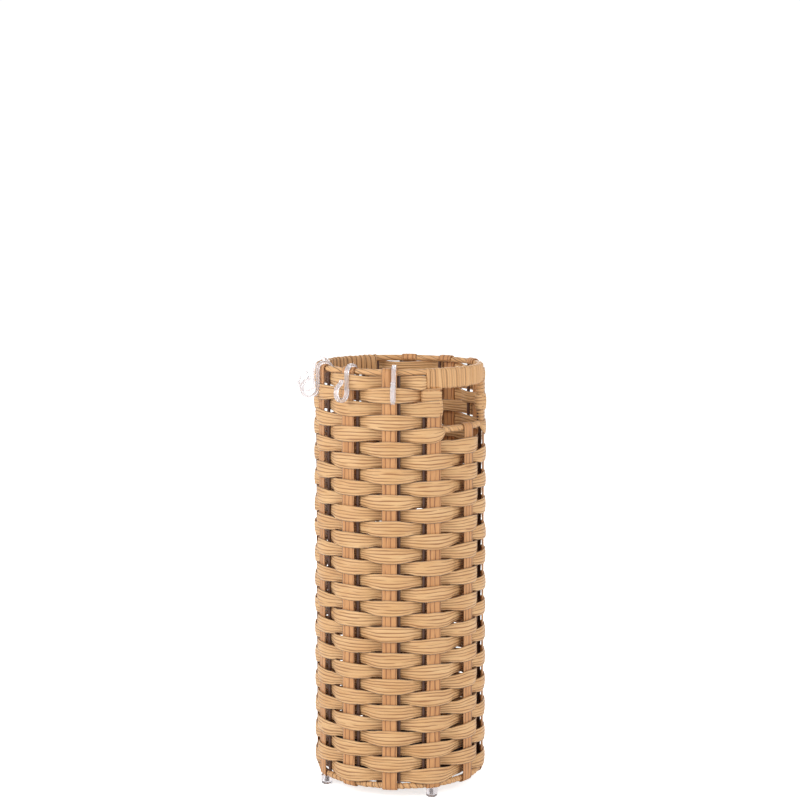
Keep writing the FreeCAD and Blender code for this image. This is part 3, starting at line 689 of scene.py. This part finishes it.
def winding_tree():
    """A closed skin of strand wound round a bar, which runs round the ring or straight up at one angle."""
    tree, add, given, result = shape_tree(
        "winding",
        {
            "Ring Radius": ("Float", 0.098),
            "Start": ("Float", 0.0),
            "Sweep": ("Float", 1.0),
            "Level": ("Float", 0.5),
            "Rise": ("Float", 0.0),
            "Upright": ("Float", 0.0),
            "Section Radius": ("Float", 0.0037),
            "Flat Half": ("Float", 0.0),
            "Out Shift": ("Float", 0.0),
            "Turns": ("Float", 5.0),
            "Spiral": ("Float", 1.0),
            "Groove Depth": ("Float", 0.0005),
            "Groove Power": ("Float", 6.0),
            "Overlap": ("Float", 0.0003),
            "Unevenness": ("Float", 0.2),
            "Lengthwise": ("Float", 0.0),
            "End Swell": ("Float", 0.0),
            "Seed": ("Float", 1.0),
            "Steps": ("Int", 200),
            "Round": ("Int", 25),
            "Finish": ("Material", None),
        },
    )
    maths = calculator(add)
    counts = {"Vertices X": given["Steps"], "Vertices Y": given["Round"]}
    sheet = add("GeometryNodeMeshGrid", {"Size X": 1.0, "Size Y": 1.0, **counts})
    split = add("ShaderNodeSeparateXYZ", {0: add("GeometryNodeInputPosition")}).node
    along = maths("ADD", split.outputs[0], 0.5)
    around = maths("ADD", split.outputs[1], 0.5)
    # the first and last columns close the ends
    last_step = maths("SUBTRACT", given["Steps"], 1.0)
    column = maths("MULTIPLY", along, last_step)
    inside_start = maths("GREATER_THAN", column, 0.5)
    inside_end = maths("LESS_THAN", column, maths("SUBTRACT", last_step, 0.5))
    open_body = maths("MULTIPLY", inside_start, inside_end)
    body_span = maths("SUBTRACT", last_step, 2.0)
    travel = maths("DIVIDE", maths("SUBTRACT", column, 1.0), body_span)
    travel = maths("MINIMUM", maths("MAXIMUM", travel, 0.0), 1.0)
    # the skin closes on itself at the back of the bar, low down
    turn = maths("MULTIPLY_ADD", around, 2 * math.pi, 1.25 * math.pi)
    # turns are uneven along the bar and lean a little as they go round it
    lean_place = add(
        "ShaderNodeCombineXYZ",
        {
            0: maths("MULTIPLY", travel, maths("MULTIPLY", given["Turns"], 0.55)),
            1: maths("MULTIPLY", maths("COSINE", turn), 0.45),
            2: maths("ADD", maths("MULTIPLY", maths("SINE", turn), 0.45), given["Seed"]),
        },
    )
    lean = add("ShaderNodeTexNoise", {"Vector": lean_place, "Scale": 1.0, "Detail": 1.0})
    lean = maths("MULTIPLY", maths("SUBTRACT", lean, 0.5), maths("MULTIPLY", given["Unevenness"], 4.0))
    wound = maths("MULTIPLY", around, given["Spiral"])
    phase = maths("ADD", maths("ADD", maths("MULTIPLY", travel, given["Turns"]), wound), lean)
    share = maths("FRACT", phase)
    from_middle = maths("ABSOLUTE", maths("MULTIPLY_ADD", share, 2.0, -1.0))
    groove = maths("MULTIPLY", maths("POWER", from_middle, given["Groove Power"]), given["Groove Depth"])
    lap = maths("MULTIPLY", maths("SUBTRACT", share, 0.5), given["Overlap"])
    number = maths("FLOOR", phase)
    swell_noise = add(
        "ShaderNodeTexWhiteNoise", {"W": maths("ADD", number, given["Seed"])}, noise_dimensions="1D"
    )
    swell_size = maths("MULTIPLY", given["Groove Depth"], 0.7)
    swell = maths("MULTIPLY", maths("SUBTRACT", swell_noise, 0.5), swell_size)
    radius = maths("ADD", maths("SUBTRACT", given["Section Radius"], groove), maths("ADD", lap, swell))
    radius = maths("MULTIPLY", radius, open_body)
    head = maths("POWER", travel, 3.0)
    flat = maths("MULTIPLY", given["Flat Half"], maths("MULTIPLY_ADD", head, given["End Swell"], 1.0))
    out = maths("ADD", maths("MULTIPLY", radius, maths("COSINE", turn)), given["Out Shift"])
    lift = maths("MINIMUM", maths("MAXIMUM", maths("MULTIPLY", maths("SINE", turn), 2.2), -1.0), 1.0)
    spread = maths("MULTIPLY", maths("MULTIPLY", lift, flat), open_body)
    up = maths("ADD", maths("MULTIPLY", radius, maths("SINE", turn)), spread)
    side_turn = maths("MULTIPLY", given["Upright"], maths("DIVIDE", up, given["Ring Radius"]))
    angle = maths("SUBTRACT", maths("MULTIPLY_ADD", given["Sweep"], travel, given["Start"]), side_turn)
    rise = maths("MULTIPLY_ADD", given["Rise"], travel, given["Level"])
    level = maths("ADD", rise, maths("MULTIPLY", up, maths("SUBTRACT", 1.0, given["Upright"])))
    reach = maths("ADD", given["Ring Radius"], out)
    spot = add(
        "ShaderNodeCombineXYZ",
        {
            0: maths("MULTIPLY", reach, maths("COSINE", angle)),
            1: maths("MULTIPLY", reach, maths("SINE", angle)),
            2: level,
        },
    )
    flats = maths("MULTIPLY", given["Flat Half"], 4.0)
    girth = maths("ADD", maths("MULTIPLY", given["Section Radius"], 2 * math.pi), flats)
    length = maths("ADD", maths("MULTIPLY", given["Ring Radius"], given["Sweep"]), given["Rise"])
    around_length = maths("MULTIPLY", around, girth)
    bar_length = maths("MULTIPLY", travel, length)
    run = add("ShaderNodeMix", {0: given["Lengthwise"], 2: around_length, 3: bar_length})
    strand = add("ShaderNodeCombineXYZ", {0: run, 1: phase, 2: given["Seed"]})
    store = {"data_type": "FLOAT_VECTOR", "domain": "CORNER"}
    sheet = add("GeometryNodeStoreNamedAttribute", {0: sheet, 2: "strand", 3: strand}, **store)
    sheet = add("GeometryNodeSetPosition", {0: sheet, 2: spot})
    sheet = add("GeometryNodeMergeByDistance", {"Geometry": sheet, "Distance": 0.000004})
    sheet = add("GeometryNodeSetShadeSmooth", {0: sheet})
    sheet = add("GeometryNodeRealizeInstances", {0: sheet})
    sheet = add("GeometryNodeSetMaterial", {0: sheet, 2: given["Finish"]})
    tree.links.new(sheet, result["Geometry"])
    return tree


WINDING_TREE = winding_tree()


def face_outwards(mesh):
    """Turn a closed mesh's faces outwards."""
    shape = bmesh.new()
    shape.from_mesh(mesh)
    bmesh.ops.recalc_face_normals(shape, faces=shape.faces)
    shape.to_mesh(mesh)
    shape.free()


def wind(name, nodes, **inputs):
    """Wind a bar and hand the winding over."""
    piece = grow(name, WINDING_TREE, Ring_Radius=frame_radius, **inputs)
    face_outwards(piece.data)
    settle(piece, "basket", "windings", *nodes)


# the groove colour here is painted shade in the grooves and at the edges
WOUND = {"light": WOUND_LIGHT, "middle": WOUND_MIDDLE, "groove": WOUND_SHADE, "bump": 0.0005}
lengthwise_finish = strand_finish(
    "lengthwise_winding", ribs=4.0, groove_width=0.06, edge_shade_width=0.02, **WOUND
)
# wide edges of painted shade, where turn meets turn
crosswise_finish = strand_finish(
    "crosswise_winding", ribs=2.0, groove_width=0.025, edge_shade_width=0.09, **WOUND
)

WOUND_RADIUS = 0.0037
band_low, band_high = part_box("handle_band_right")
band_half_turn = math.asin(band_high.y / band_high.x)
rim_start = band_half_turn - math.radians(0.6)
RIM_PITCH = 0.06
rim_sweep = math.pi - 2 * rim_start
for name, turn in (("back", 0.0), ("front", math.pi)):
    wind(
        f"rim_winding_{name}",
        [f"rim_wrap_{name}"],
        Start=turn + rim_start,
        Sweep=rim_sweep,
        Level=top_level,
        Section_Radius=WOUND_RADIUS,
        Turns=rim_sweep * frame_radius / RIM_PITCH,
        Groove_Depth=0.0006,
        Groove_Power=14.0,
        Overlap=0.0005,
        Unevenness=0.05,
        Lengthwise=1.0,
        Seed=3.0 + turn,
        Steps=220,
        Round=49,
        Finish=lengthwise_finish,
    )

SILL_PITCH = 0.0135
sill_half_turn = math.asin(sill_high.y / sill_high.x)
for name, turn in (("right", 0.0), ("left", math.pi)):
    wind(
        f"sill_winding_{name}",
        [f"sill_wrap_{name}"],
        Start=turn - sill_half_turn,
        Sweep=2 * sill_half_turn,
        Level=sill_level,
        Section_Radius=WOUND_RADIUS,
        Turns=2 * sill_half_turn * frame_radius / SILL_PITCH,
        Groove_Depth=0.0008,
        Groove_Power=8.0,
        Overlap=0.0008,
        Unevenness=0.12,
        Seed=5.0 + turn,
        Steps=160,
        Round=41,
        Finish=crosswise_finish,
    )

BASE_PITCH = 0.0075
for name, turn in (("back", 0.0), ("front", math.pi)):
    wind(
        f"base_winding_{name}",
        [f"base_wrap_{name}"],
        Start=turn,
        Sweep=math.pi,
        Level=base_level,
        Section_Radius=WOUND_RADIUS,
        Turns=math.pi * frame_radius / BASE_PITCH,
        Groove_Depth=0.0007,
        Groove_Power=5.0,
        Overlap=0.0006,
        Unevenness=0.16,
        Seed=8.0 + turn,
        Steps=500,
        Round=25,
        Finish=crosswise_finish,
    )

# The handle bands: wide flat grips over the two hand openings.
# The rim wire and the loop's wire under it are wound together with the same strand, turn beside turn.

BAND_PITCH = 0.0072
band_level = (band_low.z + band_high.z) / 2
band_radius = band_high.x - frame_radius
band_flat = (band_high.z - band_low.z) / 2 - band_radius
for name, turn in (("right", 0.0), ("left", math.pi)):
    wind(
        f"handle_winding_{name}",
        [f"handle_band_{name}"],
        Start=turn - band_half_turn,
        Sweep=2 * band_half_turn,
        Level=band_level,
        Section_Radius=band_radius - 0.0001,
        Flat_Half=band_flat,
        Turns=2 * band_half_turn * frame_radius / BAND_PITCH,
        Groove_Depth=0.0012,
        Groove_Power=4.0,
        Overlap=0.0009,
        Unevenness=0.2,
        Seed=11.0 + turn,
        Steps=300,
        Round=49,
        Finish=crosswise_finish,
    )

# The posts beside the openings: the loop's side wire and the post stake, wound with strand.
# Two of the four are wound all the way with many thin turns; the other two have only wide folds at the top,
# and a thin winding on the wire below.

post_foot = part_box("post_wrap_1")[0].z
post_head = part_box("post_wrap_1")[1].z
THIN_PITCH = 0.0041
FOLD_HEIGHT = 0.0215
POST_SHAPE = {"Sweep": 0.0, "Upright": 1.0, "Section_Radius": 0.0049, "Out_Shift": 0.0013, "Round": 49}
POST_MIDDLES = {1: 31.0, 2: 149.0, 3: 211.0, 4: 329.0}
FULLY_WOUND = (1, 3)
FOLDED_WIRES = {2: 180 - LOOP_WIRE_TURN, 4: 360 - LOOP_WIRE_TURN}
for number in range(1, 5):
    post_middle = math.radians(POST_MIDDLES[number])
    if number in FULLY_WOUND:
        wind(
            f"post_winding_{number}",
            [f"post_wrap_{number}"],
            Start=post_middle,
            Level=post_foot - 0.001,
            Rise=post_head - post_foot + 0.002,
            Flat_Half=0.0082,
            Turns=(post_head - post_foot) / THIN_PITCH,
            Groove_Depth=0.0008,
            Groove_Power=5.0,
            Overlap=0.0006,
            Unevenness=0.2,
            End_Swell=0.12,
            Seed=20.0 + number,
            Steps=160,
            Finish=crosswise_finish,
            **POST_SHAPE,
        )
    else:
        wind(
            f"post_folds_{number}",
            [f"post_wrap_{number}"],
            Start=post_middle,
            Level=post_head - FOLD_HEIGHT,
            Rise=FOLD_HEIGHT + 0.001,
            Flat_Half=0.0078,
            Turns=1.15,
            Spiral=0.0,
            Groove_Depth=0.0009,
            Groove_Power=6.0,
            Overlap=0.0004,
            Unevenness=0.06,
            End_Swell=0.05,
            Seed=30.0 + number,
            Steps=60,
            Finish=weaver_finish,
            **POST_SHAPE,
        )
        wind(
            f"post_wire_winding_{number}",
            [],
            Start=math.radians(FOLDED_WIRES[number]),
            Sweep=0.0,
            Level=post_foot,
            Rise=post_head - FOLD_HEIGHT - post_foot + 0.003,
            Upright=1.0,
            Section_Radius=0.0034,
            Turns=7.0,
            Groove_Depth=0.0006,
            Groove_Power=5.0,
            Overlap=0.0005,
            Unevenness=0.2,
            Seed=40.0 + number,
            Steps=80,
            Round=25,
            Finish=crosswise_finish,
        )

# The base: strips of the same strand woven both ways over the crossed rods and cut to a round.
# One more strip is laid flat round the edge over the cut ends, lapped over itself.

MAT_PITCH = 0.0158
MAT_STRIPS = 11
MAT_GAUGE = 0.0005
MAT_WAVE = 0.00032
STRIP_WIDTH = MAT_PITCH * 0.93
CUT_INSET = MAT_PITCH * 0.46
EDGING_INSET = MAT_PITCH * 0.47
EDGING_RISE = 0.00036
EDGING_STEPS = 96
LAP_STEPS = 4
mat_low, mat_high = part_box("base_mat")
mat_level = (mat_low.z + mat_high.z) / 2
mat_radius = mat_high.x
lines = []
for across in (0, 1):
    for strip in range(MAT_STRIPS):
        beside = (strip - (MAT_STRIPS - 1) / 2) * MAT_PITCH
        half = math.sqrt(mat_radius**2 - (abs(beside) + CUT_INSET) ** 2)
        steps = max(4, int(half / 0.002))
        points = []
        for step in range(2 * steps + 1):
            run = half * (step / steps - 1)
            over = math.cos(math.pi * run / MAT_PITCH) * (-1 if (strip + across) % 2 else 1)
            level = mat_level - 0.0001 + MAT_WAVE * over
            points.append((run, beside, level) if across else (beside, run, level))
        side = (0, -1, 0) if across else (1, 0, 0)
        lines.append((points, side, [1.0] * len(points)))
edging = []
edging_sides = []
edging_radius = mat_radius - EDGING_INSET
for step in range(EDGING_STEPS + LAP_STEPS + 1):
    turn = 2 * math.pi * step / EDGING_STEPS
    level = mat_level + 0.0001 + EDGING_RISE * step / EDGING_STEPS
    edging.append((edging_radius * math.cos(turn), edging_radius * math.sin(turn), level))
    edging_sides.append((math.cos(turn), math.sin(turn), 0))
lines.append((edging, edging_sides, [1.0] * len(edging)))
mat_finish = strand_finish("base_strand", ribs=4.0, groove_width=0.2, **WOUND)
mat = grow(
    "woven_base",
    GUIDED_TREE,
    guide_mesh("mat_lines", lines),
    Width=STRIP_WIDTH,
    Gauge=MAT_GAUGE,
    Rib_Height=0.00006,
    Crown=0.0001,
    Finish=mat_finish,
)
settle(mat, "basket", "base_mat", "base_mat")

# Foot cups and hooks: clear moulded plastic. The cups are pushed onto the legs, and the hooks hang on the
# rim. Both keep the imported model's own meshes.


def clear_plastic(name, tint, roughness, clearness):
    """A clear plastic with a faint tint and the slight waviness of a moulding."""
    material, add, shader = new_material(name)
    place = add("ShaderNodeTexCoord", output=3)
    flow = add("ShaderNodeTexNoise", {"Vector": place, "Scale": 160.0, "Detail": 2.0})
    smear = add("ShaderNodeMapRange", {0: flow, 1: 0.3, 2: 0.8, 3: roughness, 4: roughness + 0.05})
    haze = blend(add, flow, tint, (0.97, 0.95, 0.96, 1))
    dimple = add("ShaderNodeBump", {"Height": flow, "Strength": 0.12, "Distance": 0.0006})
    feed(material, shader, Base_Color=haze, Roughness=smear, Normal=dimple)
    feed(material, shader, Transmission_Weight=clearness, IOR=1.49)
    return material


cup_plastic = clear_plastic("clear_cup_plastic", (0.84, 0.82, 0.88, 1), 0.06, 0.86)
for number in range(1, 5):
    paint_node(f"foot_cup_{number}", cup_plastic)
hook_plastic = clear_plastic("clear_hook_plastic", (0.84, 0.78, 0.80, 1), 0.08, 0.66)
for number in range(1, 5):
    paint_node(f"hook_{number}", hook_plastic)

# The drip tray: a shallow dark tray that catches the water and lifts out.
# Moulded polypropylene with a rolled lip, a rounded heel and three low rings on its floor.

tray_low, tray_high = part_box("drip_tray")
tray_radius = tray_high.x
TRAY_WALL = 0.0018
TRAY_HEEL = 0.004
LIP = 0.0011
FLOOR_RINGS = (0.064, 0.044, 0.024)
RING_ROUND = 0.0012
TRAY_SIDES = 96
ARC_STEPS = 6


def arc(radius, level, size, first, last, steps=ARC_STEPS):
    """Points of an arc in the tray's side view, from one angle in degrees to another."""
    made = []
    for step in range(steps + 1):
        turn = math.radians(first + (last - first) * step / steps)
        made.append((radius + size * math.cos(turn), level + size * math.sin(turn)))
    return made


floor_level = tray_low.z + TRAY_WALL
outline = [(0, tray_low.z)]
outline += arc(tray_radius - TRAY_HEEL - 0.001, tray_low.z + TRAY_HEEL, TRAY_HEEL, -90, 0)
outline += arc(tray_radius - LIP, tray_high.z - LIP, LIP, -40, 180, 12)
inner = tray_radius - LIP * 2 - 0.0002
outline += arc(inner - TRAY_HEEL, floor_level + TRAY_HEEL, TRAY_HEEL, 0, -90)
for ring in FLOOR_RINGS:
    outline += arc(ring, floor_level - 0.0002, RING_ROUND, 10, 170)
outline.append((0, floor_level))
shape = bmesh.new()
rings = []
for radius, level in outline:
    if radius == 0:
        rings.append([shape.verts.new((0, 0, level))])
        continue
    ring = []
    for side in range(TRAY_SIDES):
        turn = 2 * math.pi * side / TRAY_SIDES
        ring.append(shape.verts.new((radius * math.cos(turn), radius * math.sin(turn), level)))
    rings.append(ring)
for below, above in zip(rings, rings[1:]):
    for side in range(TRAY_SIDES):
        square = ((below, side), (below, side + 1), (above, side + 1), (above, side))
        # at the middle of the tray two corners are one, and it is used once
        shape.faces.new(list(dict.fromkeys(ring[place % len(ring)] for ring, place in square)))
bmesh.ops.recalc_face_normals(shape, faces=shape.faces)
for face in shape.faces:
    face.smooth = True
tray_mesh = bpy.data.meshes.new("drip_tray_moulding")
shape.to_mesh(tray_mesh)
shape.free()
tray = bpy.data.objects.new("drip_tray_moulding", tray_mesh)
bpy.context.collection.objects.link(tray)

tray_plastic, add, shader = new_material("brown_tray_plastic")
place = add("ShaderNodeTexCoord", output=3)
grain = add("ShaderNodeTexNoise", {"Vector": place, "Scale": 1400.0, "Detail": 3.0})
cloud = add("ShaderNodeTexNoise", {"Vector": place, "Scale": 30.0, "Detail": 3.0})
shade = blend(add, cloud, (0.035, 0.017, 0.010, 1), (0.06, 0.03, 0.018, 1))
sanding = add("ShaderNodeBump", {"Height": grain, "Strength": 0.25, "Distance": 0.0002})
shine = add("ShaderNodeMapRange", {0: cloud, 3: 0.42, 4: 0.58})
feed(tray_plastic, shader, Base_Color=shade, Roughness=shine, Normal=sanding)
tray_mesh.materials.append(tray_plastic)
settle(tray, "drip_tray", "tray", "drip_tray")

# The studio: a white floor and backdrop, and three large square lamps set higher than the rim.
# One stands at the camera's left, one at its right, and a weaker one behind the stand.

camera_data = bpy.data.cameras.new("camera")
camera_data.lens = 89.4
camera_data.sensor_width = 36
camera = bpy.data.objects.new("camera", camera_data)
bpy.context.collection.objects.link(camera)
bpy.context.scene.camera = camera
CAMERA_AZIMUTH = math.radians(37)
CAMERA_AWAY = 2.4236
CAMERA_LEVEL = 0.7434
CAMERA_PITCH = math.radians(6.4)
camera_x = CAMERA_AWAY * math.sin(CAMERA_AZIMUTH)
camera_y = -CAMERA_AWAY * math.cos(CAMERA_AZIMUTH)
camera.location = (camera_x, camera_y, CAMERA_LEVEL)
camera.rotation_euler = (math.pi / 2 - CAMERA_PITCH, 0, CAMERA_AZIMUTH)


def looked_at(add, lighting, looking):
    """One value for the light a surface gives, and one for how it looks, straight or through plastic."""
    path = add("ShaderNodeLightPath")
    through = path.node.outputs["Is Transmission Ray"]
    seen = add("ShaderNodeMath", {0: path, 1: through}, operation="MAXIMUM")
    return add("ShaderNodeMix", {0: seen, 2: lighting, 3: looking})


floor_mesh = bpy.data.meshes.new("floor")
far = 6.0
floor_corners = [(-far, -far, 0), (far, -far, 0), (far, far, 0), (-far, far, 0)]
floor_mesh.from_pydata(floor_corners, [], [(0, 1, 2, 3)])
floor = bpy.data.objects.new("floor", floor_mesh)
bpy.context.collection.objects.link(floor)
floor_finish, add, shader = new_material("white_floor")
feed(floor_finish, shader, Base_Color=(0.95, 0.95, 0.95, 1), Roughness=0.8)
glow = looked_at(add, 0.05, 0.7)
feed(floor_finish, shader, Emission_Color=(1, 1, 1, 1), Emission_Strength=glow)
floor_mesh.materials.append(floor_finish)

world = bpy.data.worlds.new("studio")
world.use_nodes = True
add = node_maker(world.node_tree)
strength = looked_at(add, 0.55, 1.05)
backdrop = world.node_tree.nodes["Background"]
backdrop.inputs["Color"].default_value = (1, 1, 1, 1)
world.node_tree.links.new(strength, backdrop.inputs["Strength"])
bpy.context.scene.world = world
bpy.context.scene.view_settings.view_transform = "Standard"


def soft_light(name, azimuth, away, level, size, power):
    """A square lamp that looks at the middle of the stand."""
    data = bpy.data.lights.new(name, "AREA")
    data.size = size
    data.energy = power
    lamp = bpy.data.objects.new(name, data)
    bpy.context.collection.objects.link(lamp)
    turn = math.radians(azimuth)
    lamp.location = (away * math.sin(turn), -away * math.cos(turn), level)
    lamp.rotation_euler = (Vector((0, 0, 0.3)) - lamp.location).to_track_quat("-Z", "Y").to_euler()


soft_light("key", -20, 2.0, 1.2, 1.2, 27)
soft_light("fill", 92, 2.2, 1.1, 1.6, 22)
soft_light("back", 215, 2.4, 1.1, 1.8, 20)
